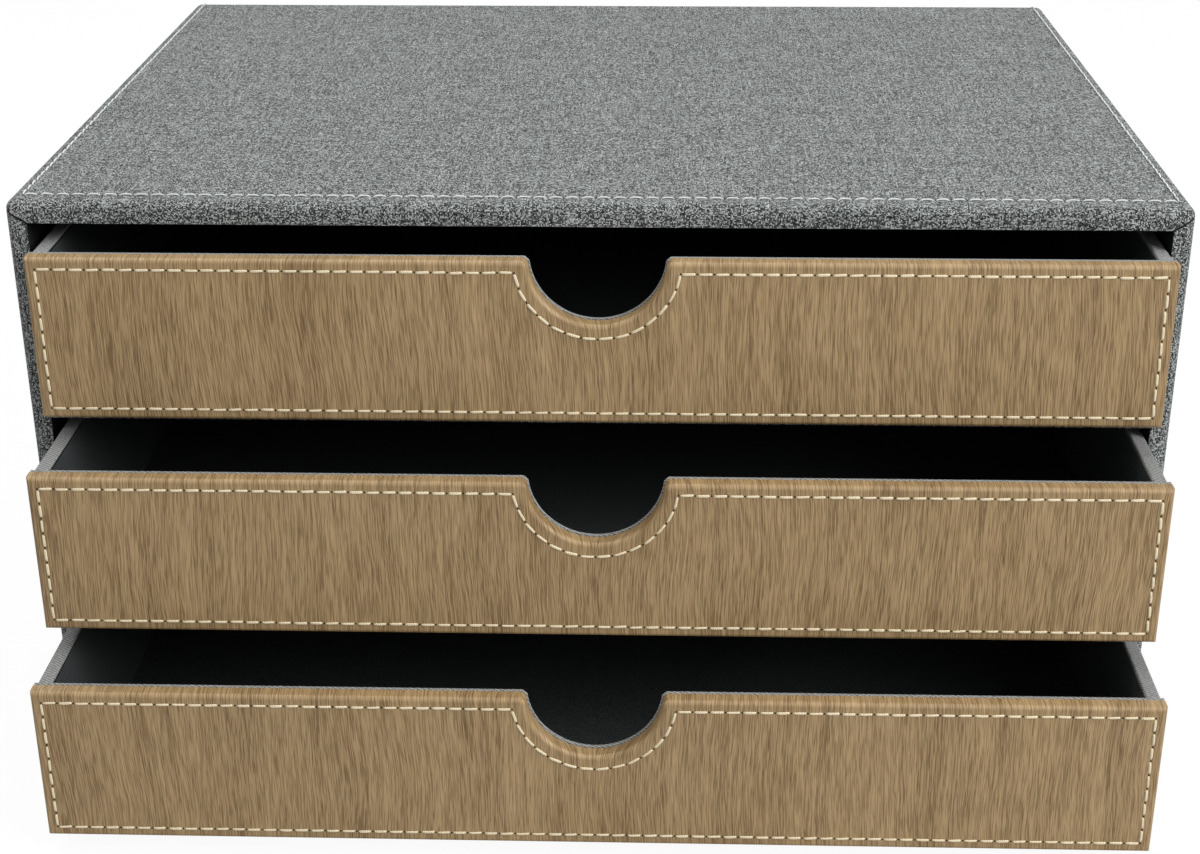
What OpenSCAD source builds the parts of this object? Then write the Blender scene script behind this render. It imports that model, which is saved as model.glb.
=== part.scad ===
// Desk organiser: a fabric-covered case with three open-topped drawers.
// X runs to the right, Y to the back, Z up. The origin is the centre of the
// case's underside, and each drawer is drawn standing part of the way open.

/* [Case] */
// Overall width of the case
case_w = 340; // [300:1:420]
// Overall depth of the case
case_d = 260; // [230:1:340]
// Thickness of the top board
top_board_t = 5; // [4:0.5:9]
// Thickness of the base board
base_board_t = 5; // [4:0.5:9]
// Thickness of the two side boards
side_board_t = 4.5; // [3:0.5:8]
// Thickness of the back board
rear_board_t = 4; // [3:0.5:8]
// Thickness of each shelf board
shelf_board_t = 4.6; // [3:0.1:8]
// Clear height of the lower and middle bays
bay_h = 52.65; // [46:0.05:80]
// Extra clear height of the top bay
top_bay_extra = 2.85; // [0:0.05:8]

/* [Case coverings] */
// Thickness of the woven outer cover
cover_t = 0.8; // [0.6:0.1:1.4]
// Thickness of the black lining inside the bays
lining_t = 0.7; // [0.5:0.1:1.2]
// Radius of the case's outer edges
case_edge_r = 2; // [1:0.1:3]
// Radius of the shelf edgings' front corners
edging_r = 0.6; // [0.2:0.1:0.6]

/* [Drawer fit] */
// Gap between a drawer front and the bay's left side
front_left_gap = 2.2; // [0.3:0.1:3]
// Gap between a drawer front and the bay's right side
front_right_gap = 0.3; // [0.3:0.1:3]
// Gap over a drawer front in the lower bays
front_top_gap = 2.85; // [1:0.05:5]
// Running gap under each drawer
run_gap = 0.3; // [0.2:0.05:0.6]
// Space left behind a closed drawer
rear_gap = 2.5; // [1:0.5:12]

/* [Drawer front] */
// Thickness of the front board
front_board_t = 4; // [3:0.5:8]
// Thickness of the wood-grain cover on the front
front_cover_t = 0.8; // [0.6:0.1:1.2]
// Radius of the front's edges
front_edge_r = 1.4; // [1:0.1:3]
// Thickness of the panel that lines the front's inner side
front_lining_t = 1.3; // [0.6:0.1:2]
// How far the lining panel stays inside the front's outline
front_lining_inset = 0.1; // [0.1:0.1:1.5]

/* [Drawer box] */
// How far the side walls stand in from the ends of the front
wall_inset = 0.7; // [0.2:0.1:4]
// How far the walls' tops lie below the top of the front
wall_drop = 0.4; // [0:0.1:6]
// Thickness of the wall boards
wall_board_t = 3; // [2:0.5:6]
// Thickness of the floor board
floor_board_t = 2.5; // [2:0.5:5]
// Thickness of the ribbed wrap round the box
wrap_t = 0.6; // [0.4:0.1:1]
// Thickness of the black liner in the box
liner_t = 0.7; // [0.4:0.1:1.2]

/* [Finger notch] */
// Radius of the notch
notch_r = 19.8; // [12:0.1:28]
// Height of the notch's centre over the top of the front
notch_centre_rise = 0.8; // [0.2:0.1:4]
// Size of the chamfers where the notch meets the top edge
notch_chamfer = 1.2; // [0.6:0.1:2.5]
// How far the lining panel shows inside the notch
notch_lining_rim = 0.3; // [0.1:0.1:0.8]
// How far the black liner keeps outside the notch
notch_liner_gap = 0.8; // [0.2:0.1:2]

/* [Open distances] */
// How far the top drawer stands open
top_open = 14; // [0:0.5:150]
// How far the middle drawer stands open
middle_open = 35.5; // [0:0.5:150]
// How far the bottom drawer stands open
bottom_open = 56; // [0:0.5:150]

/* [Hidden] */

$fn = 64;
past = 1;      // how far a cut runs past the faces that it opens
cross = 0.04;  // how far an edge's shape crosses a face, so that the two don't only touch

woven_grey = [0.36, 0.38, 0.38];
wood_grain = [0.50, 0.40, 0.28];
ribbed_grey = [0.52, 0.52, 0.51];
lining_black = [0.06, 0.06, 0.06];
board_brown = [0.62, 0.52, 0.40];

// Case heights, from the underside up
wall_t = cover_t + side_board_t + lining_t;
rear_t = cover_t + rear_board_t + lining_t;
base_t = cover_t + base_board_t + lining_t;
top_t = cover_t + top_board_t + lining_t;
shelf_t = shelf_board_t + 2 * lining_t;
top_bay_h = bay_h + top_bay_extra;
bottom_bay_z = base_t;
middle_bay_z = bottom_bay_z + bay_h + shelf_t;
top_bay_z = middle_bay_z + bay_h + shelf_t;
case_h = top_bay_z + top_bay_h + top_t;

// Case widths and depths
bay_w = case_w - 2 * wall_t;
bay_d = case_d - cover_t - rear_t;
boards_w = case_w - 2 * cover_t;
boards_d = case_d - 2 * cover_t;
boards_y = -case_d / 2 + cover_t;
between_w = boards_w - 2 * side_board_t;
between_d = boards_d - rear_board_t;
side_h = case_h - 2 * cover_t - base_board_t - top_board_t;
side_z = cover_t + base_board_t;
edge_to_cover = 3;   // a round edge stays clear of the boards up to this many thicknesses
case_r = min(case_edge_r, edge_to_cover * cover_t);

// Drawer, in its own frame: X centred, Y 0 on the front's face, Z 0 on its underside
front_w = bay_w - front_left_gap - front_right_gap;
drawer_x = (front_left_gap - front_right_gap) / 2;   // the drawers' centre line in the case
front_h = bay_h - run_gap - front_top_gap;
front_t = front_cover_t + front_board_t;
front_r = min(front_edge_r, edge_to_cover * front_cover_t);
drawer_d = case_d - rear_t - rear_gap;
box_w = front_w - 2 * wall_inset;
box_h = front_h - wall_drop;
box_y = front_t + front_lining_t;
wall_build = wrap_t + wall_board_t + liner_t;
inner_w = box_w - 2 * wrap_t;
cavity_w = inner_w - 2 * wall_board_t;
cavity_y_end = drawer_d - wrap_t - wall_board_t;
floor_top = wrap_t + floor_board_t;
inner_top = box_h - wrap_t;
notch_z = front_h + notch_centre_rise;

// A box that is centred on X, with Y and Z running up from the given start
module slab(w, d, h, y = 0, z = 0) {
    translate([-w / 2, y, z]) cube([w, d, h]);
}

// A rectangle with four round corners, one corner at the origin
module round_rect(w, h, r) {
    translate([r, 0]) square([w - 2 * r, h]);
    translate([0, r]) square([w, h - 2 * r]);
    for (x = [r, w - r], y = [r, h - r]) translate([x, y]) circle(r);
}

// The case's outer form, with every outer edge round
module case_form() {
    intersection() {
        translate([-case_w / 2, -case_d / 2, 0])
            linear_extrude(case_h) round_rect(case_w, case_d, case_r);
        translate([-case_w / 2, case_d / 2, 0]) rotate([90, 0, 0])
            linear_extrude(case_d) round_rect(case_w, case_h, case_r);
        translate([-case_w / 2, -case_d / 2, 0]) rotate([90, 0, 90])
            linear_extrude(case_w) round_rect(case_d, case_h, case_r);
    }
}

// The covers as one skin: the outer form less the boards and the open front
module case_skin() {
    difference() {
        case_form();
        slab(boards_w, boards_d, case_h - 2 * cover_t, boards_y, cover_t);
        slab(bay_w, cover_t + 2 * past, case_h - top_t - base_t, -case_d / 2 - past, base_t);
    }
}

// The part of the skin in front of the rear cover, cut to a mitred outline
module skin_part(outline) {
    intersection() {
        case_skin();
        translate([0, case_d / 2 - cover_t, 0]) rotate([90, 0, 0])
            linear_extrude(case_d) polygon(outline);
    }
}

// One woven sheet over the top and both sides, folded onto their front edges
module outer_cover() {
    color(woven_grey) skin_part([
        [-case_w / 2, 0], [-bay_w / 2, base_t],
        [-bay_w / 2, case_h - top_t], [bay_w / 2, case_h - top_t],
        [bay_w / 2, base_t], [case_w / 2, 0],
        [case_w / 2, case_h], [-case_w / 2, case_h]
    ]);
}

module base_cover() {
    color(lining_black) skin_part([
        [-case_w / 2, 0], [case_w / 2, 0], [bay_w / 2, base_t], [-bay_w / 2, base_t]
    ]);
}

module rear_cover() {
    color(woven_grey) intersection() {
        case_form();
        slab(case_w, cover_t, case_h, case_d / 2 - cover_t);
    }
}

module top_board() {
    color(board_brown)
        slab(boards_w, boards_d, top_board_t, boards_y, case_h - cover_t - top_board_t);
}

module base_board() {
    color(board_brown) slab(boards_w, boards_d, base_board_t, boards_y, cover_t);
}

module side_board(side) {
    color(board_brown)
        translate([side * (boards_w - side_board_t) / 2, 0, 0])
            slab(side_board_t, boards_d, side_h, boards_y, side_z);
}

module rear_board() {
    color(board_brown)
        slab(between_w, rear_board_t, side_h, boards_y + between_d, side_z);
}

// A shelf board, with its lining on both faces, under the bay at bay_z
module shelf(bay_z) {
    color(board_brown)
        slab(between_w, between_d, shelf_board_t, boards_y, bay_z - shelf_t + lining_t);
}

// The strip that closes a shelf's front edge
module shelf_edging(bay_z) {
    color(woven_grey)
        translate([-bay_w / 2, -case_d / 2, bay_z - shelf_t]) rotate([90, 0, 90])
            linear_extrude(bay_w) intersection() {
                round_rect(2 * cover_t, shelf_t, edging_r);
                square([cover_t, shelf_t]);
            }
}

// The black lining of one bay: floor, sides, back and ceiling, open at the front
module bay_lining(bay_z, clear_h) {
    color(lining_black) difference() {
        slab(between_w, between_d, clear_h + 2 * lining_t, boards_y, bay_z - lining_t);
        slab(bay_w, bay_d + past, clear_h, boards_y - past, bay_z);
    }
}

// Places a drawer's pieces in the bay at bay_z, open by the given distance
module in_bay(bay_z, open) {
    translate([drawer_x, -case_d / 2 - open, bay_z + run_gap]) children();
}

// The notch outline in X and Z: a circle, chamfered where it meets the top edge
module notch_outline(r) {
    chamfer_z = front_h - notch_chamfer;
    chamfer_x = sqrt(r * r - pow(notch_z - chamfer_z, 2)) - cross;
    top_x = sqrt(r * r - notch_centre_rise * notch_centre_rise) + notch_chamfer;
    translate([0, notch_z]) circle(r);
    polygon([
        [-chamfer_x, chamfer_z], [chamfer_x, chamfer_z], [top_x, front_h], [top_x, front_h + past],
        [-top_x, front_h + past], [-top_x, front_h]
    ]);
}

// The notch cut straight through, from y_start to y_end
module notch_cut(r, y_start, y_end) {
    translate([0, y_end, 0]) rotate([90, 0, 0])
        linear_extrude(y_end - y_start) notch_outline(r);
}

// The cutter that rounds the notch's front edge
module notch_edge_cut() {
    translate([0, 0, notch_z]) rotate([-90, 0, 0]) rotate_extrude() difference() {
        translate([notch_r - past, -past]) square([front_r + past, front_r + past]);
        translate([notch_r + front_r - cross, front_r - cross]) circle(front_r);
    }
}

// The outer form of a covered front: round at the front, square at the back
module front_form() {
    intersection() {
        translate([-front_w / 2, front_t, 0]) rotate([90, 0, 0])
            linear_extrude(front_t) round_rect(front_w, front_h, front_r);
        translate([-front_w / 2, 0, 0]) rotate([90, 0, 90])
            linear_extrude(front_w) round_rect(2 * front_t, front_h, front_r);
        translate([-front_w / 2, 0, 0])
            linear_extrude(front_h) round_rect(front_w, 2 * front_t, front_r);
        slab(front_w, front_t, front_h);
    }
}

module front_board() {
    color(board_brown) difference() {
        slab(front_w - 2 * front_cover_t, front_board_t, front_h - 2 * front_cover_t,
            front_cover_t, front_cover_t);
        notch_cut(notch_r + front_cover_t, 0, front_t + past);
    }
}

module front_cover() {
    color(wood_grain) difference() {
        front_form();
        difference() {
            slab(front_w - 2 * front_cover_t, front_board_t + past, front_h - 2 * front_cover_t,
                front_cover_t, front_cover_t);
            notch_cut(notch_r + front_cover_t, 0, front_t + 2 * past);
        }
        notch_cut(notch_r, -past, front_t + past);
        notch_edge_cut();
    }
}

module front_lining() {
    color(ribbed_grey) difference() {
        slab(front_w - 2 * front_lining_inset, front_lining_t, front_h - 2 * front_lining_inset,
            front_t, front_lining_inset);
        notch_cut(notch_r - notch_lining_rim, front_t - past, box_y + past);
    }
}

module side_wall(side) {
    color(board_brown)
        translate([side * (inner_w - wall_board_t) / 2, 0, 0])
            slab(wall_board_t, drawer_d - wrap_t - box_y, inner_top - wrap_t, box_y, wrap_t);
}

module rear_wall() {
    color(board_brown)
        slab(cavity_w, wall_board_t, inner_top - wrap_t, cavity_y_end, wrap_t);
}

module floor_board() {
    color(board_brown) slab(cavity_w, cavity_y_end - box_y, floor_board_t, box_y, wrap_t);
}

// The ribbed wrap: outside, underside and the flat tops of the three walls
module wrap() {
    color(ribbed_grey) difference() {
        slab(box_w, drawer_d - box_y, box_h, box_y);
        slab(inner_w, drawer_d - wrap_t - box_y + past, inner_top - wrap_t, box_y - past, wrap_t);
        slab(box_w - 2 * wall_build, drawer_d - wall_build - box_y + past, box_h,
            box_y - past, inner_top - past);
    }
}

// The black liner: floor and four walls, with the notch let into its front wall
module liner() {
    color(lining_black) difference() {
        slab(cavity_w, cavity_y_end - box_y, inner_top - floor_top, box_y, floor_top);
        slab(cavity_w - 2 * liner_t, cavity_y_end - box_y - 2 * liner_t, inner_top,
            box_y + liner_t, floor_top + liner_t);
        notch_cut(notch_r + notch_liner_gap, box_y - past, box_y + liner_t + past);
    }
}

top_board();
base_board();
side_board(-1);  // left_board
side_board(1);  // right_board
rear_board();
shelf(top_bay_z);  // upper_shelf
shelf(middle_bay_z);  // lower_shelf
shelf_edging(top_bay_z);  // upper_shelf_edging
shelf_edging(middle_bay_z);  // lower_shelf_edging
outer_cover();
rear_cover();
base_cover();
bay_lining(top_bay_z, top_bay_h);  // top_bay_lining
bay_lining(middle_bay_z, bay_h);  // middle_bay_lining
bay_lining(bottom_bay_z, bay_h);  // bottom_bay_lining
in_bay(top_bay_z, top_open) front_board();  // top_front_board
in_bay(top_bay_z, top_open) front_cover();  // top_front_cover
in_bay(top_bay_z, top_open) front_lining();  // top_front_lining
in_bay(top_bay_z, top_open) side_wall(-1);  // top_left_wall
in_bay(top_bay_z, top_open) side_wall(1);  // top_right_wall
in_bay(top_bay_z, top_open) rear_wall();  // top_rear_wall
in_bay(top_bay_z, top_open) floor_board();  // top_floor
in_bay(top_bay_z, top_open) wrap();  // top_wrap
in_bay(top_bay_z, top_open) liner();  // top_liner
in_bay(middle_bay_z, middle_open) front_board();  // middle_front_board
in_bay(middle_bay_z, middle_open) front_cover();  // middle_front_cover
in_bay(middle_bay_z, middle_open) front_lining();  // middle_front_lining
in_bay(middle_bay_z, middle_open) side_wall(-1);  // middle_left_wall
in_bay(middle_bay_z, middle_open) side_wall(1);  // middle_right_wall
in_bay(middle_bay_z, middle_open) rear_wall();  // middle_rear_wall
in_bay(middle_bay_z, middle_open) floor_board();  // middle_floor
in_bay(middle_bay_z, middle_open) wrap();  // middle_wrap
in_bay(middle_bay_z, middle_open) liner();  // middle_liner
in_bay(bottom_bay_z, bottom_open) front_board();  // bottom_front_board
in_bay(bottom_bay_z, bottom_open) front_cover();  // bottom_front_cover
in_bay(bottom_bay_z, bottom_open) front_lining();  // bottom_front_lining
in_bay(bottom_bay_z, bottom_open) side_wall(-1);  // bottom_left_wall
in_bay(bottom_bay_z, bottom_open) side_wall(1);  // bottom_right_wall
in_bay(bottom_bay_z, bottom_open) rear_wall();  // bottom_rear_wall
in_bay(bottom_bay_z, bottom_open) floor_board();  // bottom_floor
in_bay(bottom_bay_z, bottom_open) wrap();  // bottom_wrap
in_bay(bottom_bay_z, bottom_open) liner();  // bottom_liner
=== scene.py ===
import math
import random

import bmesh
import bpy
from bpy.props import FloatProperty, FloatVectorProperty, IntProperty, PointerProperty
from mathutils import Matrix, Vector


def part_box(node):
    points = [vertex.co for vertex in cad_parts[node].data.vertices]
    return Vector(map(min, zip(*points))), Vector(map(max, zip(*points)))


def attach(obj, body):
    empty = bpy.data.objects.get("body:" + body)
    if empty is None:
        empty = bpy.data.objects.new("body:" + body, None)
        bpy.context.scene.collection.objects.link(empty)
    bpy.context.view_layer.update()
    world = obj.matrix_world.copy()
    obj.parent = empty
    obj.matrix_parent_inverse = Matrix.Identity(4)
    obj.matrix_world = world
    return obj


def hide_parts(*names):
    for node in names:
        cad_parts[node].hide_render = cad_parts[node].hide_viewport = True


bl_info = {
    "name": "Desk Organiser Covers",
    "version": (1, 0, 0),
    "blender": (4, 5, 0),
    "location": "View3D > Sidebar > Desk Organiser",
    "description": "Covers, linings, stitching and studio for a desk organiser with three drawers",
    "category": "Object",
}

MM = 0.001
NEAR = 1e-6   # places less than this many metres apart are the same
CLOSE = 1e-5  # the same, next to an edge that was made round
FRONT, REAR = Vector((0, -1, 0)), Vector((0, 1, 0))
DOWN, UP = Vector((0, 0, -1)), Vector((0, 0, 1))

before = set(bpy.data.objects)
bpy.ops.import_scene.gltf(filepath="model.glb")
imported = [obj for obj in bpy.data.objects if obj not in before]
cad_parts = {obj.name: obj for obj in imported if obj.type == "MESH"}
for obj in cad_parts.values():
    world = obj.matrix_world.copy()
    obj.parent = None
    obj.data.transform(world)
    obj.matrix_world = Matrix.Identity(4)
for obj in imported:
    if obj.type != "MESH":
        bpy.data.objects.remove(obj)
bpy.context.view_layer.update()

DRAWERS = ("top", "middle", "bottom")
CASE_LOW = Vector((
    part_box("outer_cover")[0].x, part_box("outer_cover")[0].y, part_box("base_cover")[0].z))
CASE_HIGH = Vector((
    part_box("outer_cover")[1].x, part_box("rear_cover")[1].y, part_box("outer_cover")[1].z))
BAY_HALF_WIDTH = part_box("upper_shelf_edging")[1].x
COVER_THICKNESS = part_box("base_board")[0].z
LINING_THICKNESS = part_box("upper_shelf")[0].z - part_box("upper_shelf_edging")[0].z
OPENING_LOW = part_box("base_board")[1].z + LINING_THICKNESS
OPENING_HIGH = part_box("top_board")[0].z - LINING_THICKNESS

NOTCH_STITCHES = 14    # stitches on the arc under a finger notch
FLOOR_REACH = 4.0      # how many metres the floor reaches from the object, each way
FLOOR_GREY = 0.55      # the floor's own colour, which keeps the object's shadow
FLOOR_GLOW = 1.08      # strength of the white that the camera sees instead
FLOOR_WHITE = 0.87     # how much of that white is mixed in
LAMP_TARGET = (0, 0, 0.1)
LAMPS = (              # the setting of its power, name, place and size of each lamp
    ("top_light", "top_lamp", (-0.35, 0.1, 1.4), 1.2),
    ("front_light", "front_lamp", (1.15, -0.8, 1.0), 0.9),
)


# ---- settings


def length(name, description, millimetres):
    return FloatProperty(name=name, description=description, default=millimetres * MM,
                         min=0.0, subtype="DISTANCE", unit="LENGTH")


def angle(name, description, degrees):
    return FloatProperty(name=name, description=description, default=math.radians(degrees),
                         subtype="ANGLE", unit="ROTATION")


def power(name, description, watts):
    return FloatProperty(name=name, description=description, default=watts,
                         min=0.0, unit="POWER")


def share(name, description, value):
    return FloatProperty(name=name, description=description, default=value,
                         min=0.0, max=1.0, subtype="FACTOR")


def colour(name, description, red, green, blue):
    """A colour setting, given as it looks on a screen and kept as linear light."""
    return FloatVectorProperty(name=name, description=description, size=3, subtype="COLOR",
                               min=0.0, max=1.0, default=[linear(c) for c in (red, green, blue)])


def linear(screen):
    part = screen / 255
    return part / 12.92 if part <= 0.04045 else ((part + 0.055) / 1.055) ** 2.4


def shaded(tint, amount):
    """A linear colour made darker or lighter."""
    return [c * amount for c in tint]


class CaseCoverSettings(bpy.types.PropertyGroup):
    edge_radius: length("Edge radius", "Radius of the case's outer edges", 2.7)
    seam_rise: length("Seam rise", "Height that a front corner seam gains on its way out", 3.6)
    seam_width: length("Seam width", "Width of the groove along a corner seam", 0.9)
    seam_depth: length("Seam depth", "Depth of the groove along a corner seam", 0.6)
    rear_turn_in: length("Rear turn-in", "Width of the cover turned in behind the case", 10)
    rear_panel_inset: length("Rear panel inset", "Margin round the panel on the back", 3)
    yarn_pitch: length("Yarn pitch", "Distance between the yarns of the woven cover", 0.38)
    dark_yarn: colour("Dark yarn", "Darkest yarn of the woven cover", 22, 25, 24)
    middle_yarn: colour("Middle yarn", "Most common yarn of the woven cover", 98, 103, 102)
    light_yarn: colour("Light yarn", "Lightest yarn of the woven cover", 216, 221, 219)
    base_colour: colour("Base cover", "Leather-look cover under the case", 46, 47, 48)


class StitchSettings(bpy.types.PropertyGroup):
    case_pitch: length("Case pitch", "Distance between needle holes on the case", 4.6)
    case_side_inset: length("Case side inset", "Stitch line from the case's sides", 3.92)
    case_front_inset: length("Case front inset", "Stitch line from the case's front", 6.69)
    case_thread: length("Case thread", "Thickness of the case's thread", 0.52)
    case_arch: length("Case arch", "Height that a case stitch stands up in its middle", 0.34)
    front_pitch: length("Front pitch", "Distance between needle holes on the fronts", 4.7)
    front_side_inset: length("Front side inset", "Stitch line from a front's ends", 3.2)
    front_top_inset: length("Front top inset", "Stitch line from a front's top", 3.3)
    front_bottom_inset: length("Front bottom inset", "Stitch line from a front's bottom", 3.3)
    front_notch_radius: length("Notch stitch radius", "Radius of the stitches under a notch", 23.8)
    front_notch_rise: length("Notch stitch rise", "Centre of that arc over a front's top", 0.54)
    front_thread: length("Front thread", "Thickness of the fronts' thread", 0.78)
    gap: length("Gap", "Bare length at a needle hole between two stitches", 0.5)
    seed: IntProperty(name="Seed", description="Start of the stitches' small irregularities",
                      default=7, min=0)
    white: colour("Case thread colour", "Thread on the case", 244, 246, 244)
    cream: colour("Front thread colour", "Thread on the fronts", 255, 240, 205)


class FrontSettings(bpy.types.PropertyGroup):
    edge_radius: length("Edge radius", "Radius of a front's edges", 1.4)
    rear_radius: length("Rear radius", "Radius of the film's edge behind a front", 0.4)
    corner_radius: length("Corner radius", "Radius of a front's four corners", 1)
    notch_radius: length("Notch radius", "Radius of the finger notch", 19.8)
    notch_rise: length("Notch rise", "Centre of the notch over a front's top", 0.8)
    notch_corner: length("Notch corner", "Size of the corners where notch and top meet", 1.2)
    light_grain: colour("Light grain", "Light wood between the streaks", 194, 164, 121)
    main_grain: colour("Main grain", "Most common wood colour", 166, 139, 99)
    dark_grain: colour("Dark grain", "Dark streaks of the wood", 114, 87, 51)


class DrawerSettings(bpy.types.PropertyGroup):
    rim_radius: length("Rim radius", "Radius of the walls' covered top edges", 0.8)
    wall_build: length("Wall build", "Whole thickness of a covered wall", 4.3)
    notch_rim: length("Notch rim", "How far the lining panel shows inside the notch", 0.3)
    notch_liner_gap: length("Liner gap", "How far the liner keeps outside the notch", 0.8)
    rib_pitch: length("Rib pitch", "Distance between the ribs of the grey wrap", 0.95)
    wrap_light: colour("Light rib", "Light ribs of the grey wrap", 176, 177, 175)
    wrap_dark: colour("Dark rib", "Grooves of the grey wrap", 92, 94, 94)
    liner_light: colour("Liner thread", "Raised threads of the black liner", 92, 97, 98)
    liner_dark: colour("Liner ground", "Ground of the black liner", 22, 24, 24)
    lining_colour: colour("Bay lining", "Black lining of the bays", 24, 25, 26)
    board_colour: colour("Board", "Fibreboard under the covers", 156, 130, 98)


class StudioSettings(bpy.types.PropertyGroup):
    focal_length: FloatProperty(name="Focal length", description="Lens for a 36 mm wide sensor",
                                default=60.05, min=1.0, subtype="DISTANCE_CAMERA")
    camera_place: FloatVectorProperty(name="Camera place", description="Where the camera stands",
                                      size=3, subtype="TRANSLATION", unit="LENGTH",
                                      default=(0.0187, -0.6739, 0.36255))
    camera_pitch: angle("Camera pitch", "How far the camera looks down", 24.31)
    camera_yaw: angle("Camera yaw", "How far the camera turns left", 1.85)
    camera_roll: angle("Camera roll", "How far the camera leans", -0.20)
    sky: share("Sky", "Strength of the even light from all round", 0.34)
    top_light: power("Top light", "Power of the large lamp overhead", 10.5)
    front_light: power("Front light", "Power of the large lamp in front", 20)


# ---- finishes


def arithmetic(operation, swapped=False):
    """One of Signal's operators, which adds the Math node of its operation."""
    def apply(self, other):
        values = (other, self) if swapped else (self, other)
        return self.shader.maths(operation, *values)
    return apply


class Signal:
    """A shader socket that takes part in plain arithmetic."""

    def __init__(self, shader, socket):
        self.shader = shader
        self.socket = socket

    def swing(self, strength):
        """This signal round a half, turned into one round 0 with another strength."""
        return (self - 0.5) * strength


for sign, operation in (("add", "ADD"), ("sub", "SUBTRACT"), ("mul", "MULTIPLY"),
                        ("truediv", "DIVIDE"), ("mod", "FLOORED_MODULO")):
    setattr(Signal, f"__{sign}__", arithmetic(operation))
    setattr(Signal, f"__r{sign}__", arithmetic(operation, swapped=True))


class Shader:
    """The node tree of a material or a world, put together node by node."""

    def __init__(self, owner):
        owner.use_nodes = True
        self.tree = owner.node_tree
        self.tree.nodes.clear()

    def node(self, kind, settings=None, sockets=None):
        made = self.tree.nodes.new("ShaderNode" + kind)
        for name, value in (settings or {}).items():
            if name == "stops":
                ramp = made.color_ramp
                while len(ramp.elements) < len(value):
                    ramp.elements.new(1.0)
                for element, (position, stop) in zip(ramp.elements, value):
                    element.position = position
                    element.color = (*stop, 1.0)
            else:
                setattr(made, name, value)
        for name, value in (sockets or {}).items():
            value = value.socket if isinstance(value, Signal) else value
            if isinstance(value, bpy.types.NodeSocket):
                self.tree.links.new(value, made.inputs[name])
            else:
                made.inputs[name].default_value = value
        return made

    def maths(self, operation, *values):
        made = self.node("Math", {"operation": operation}, dict(enumerate(values)))
        return Signal(self, made.outputs[0])

    def step(self, value, low, high):
        """0 below low, 1 above high, and a smooth rise between them."""
        made = self.node("MapRange", {"interpolation_type": "SMOOTHSTEP"},
                         {"Value": value, "From Min": low, "From Max": high})
        return Signal(self, made.outputs[0])

    def blend(self, factor, first, second):
        made = self.node("Mix", {"data_type": "FLOAT"}, {0: factor, 2: first, 3: second})
        return Signal(self, made.outputs[0])

    def colours(self, factor, first, second, way="MIX"):
        first, second = (
            (*c, 1.0) if not isinstance(c, Signal) else c for c in (first, second))
        made = self.node("Mix", {"data_type": "RGBA", "blend_type": way},
                         {0: factor, 6: first, 7: second})
        return Signal(self, made.outputs[2])

    def ramp(self, value, *stops):
        made = self.node("ValToRGB", {"stops": stops}, {"Fac": value})
        return Signal(self, made.outputs["Color"])

    def vector(self, x=0.0, y=0.0, z=0.0):
        made = self.node("CombineXYZ", sockets={"X": x, "Y": y, "Z": z})
        return Signal(self, made.outputs[0])

    def noise(self, x=0.0, y=0.0, z=0.0, detail=1.0, roughness=0.5):
        """Noise from 0 to 1 whose features are about as large as one unit. Where it is laid
        out flat, z is a plain number that picks one of the noise's layers."""
        made = self.node("TexNoise", sockets={
            "Vector": self.vector(x, y, z), "Scale": 1.0, "Detail": detail,
            "Roughness": roughness})
        return Signal(self, made.outputs[0])

    def speckle(self, place, size, detail=1.0, roughness=0.5):
        """Noise whose features have one size, in millimetres, in all three directions."""
        return self.noise(*(axis / size for axis in place), detail, roughness)

    def wave(self, turns):
        """A wave from 0 to 1 that comes back with each whole number."""
        return self.maths("SINE", turns * math.tau) * 0.5 + 0.5

    def along(self, place, direction):
        """How far a place lies along a direction."""
        x, y, z = (axis * amount for axis, amount in zip(place, direction))
        return x + y + z

    def place(self, source):
        """The surface's place in millimetres, from its UV map or its Object coordinates."""
        coordinates = self.node("TexCoord")
        made = self.node("SeparateXYZ", sockets={0: coordinates.outputs[source]})
        return [Signal(self, output) / MM for output in made.outputs]

    def value(self, name):
        """A number that the mesh carries on its points."""
        made = self.node("Attribute", {"attribute_name": name})
        return Signal(self, made.outputs["Fac"])


class Finish(Shader):
    """One material, around a Principled shader."""

    def __init__(self, name, **constants):
        self.material = bpy.data.materials.new(name)
        super().__init__(self.material)
        self.surface = self.node("BsdfPrincipled", sockets={
            socket.replace("_", " "): value for socket, value in constants.items()})
        self.output = self.node(
            "OutputMaterial", sockets={"Surface": self.surface.outputs["BSDF"]})

    def cover(self, tint, roughness, height=None, depth=0.0):
        """Gives the surface a colour, a roughness and perhaps a relief, whose height of 0 to 1
        stands for a depth in millimetres, and returns the material."""
        outputs = {"Base Color": tint.socket, "Roughness": roughness.socket}
        if height is not None:
            bump = self.node("Bump", sockets={
                "Strength": 1.0, "Distance": depth * MM, "Height": height})
            outputs["Normal"] = bump.outputs[0]
        for name, socket in outputs.items():
            self.tree.links.new(socket, self.surface.inputs[name])
        return self.material


# In the finishes, lengths are in millimetres. The third number of a noise, and of a run of
# streaks, only picks a layer.


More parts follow.
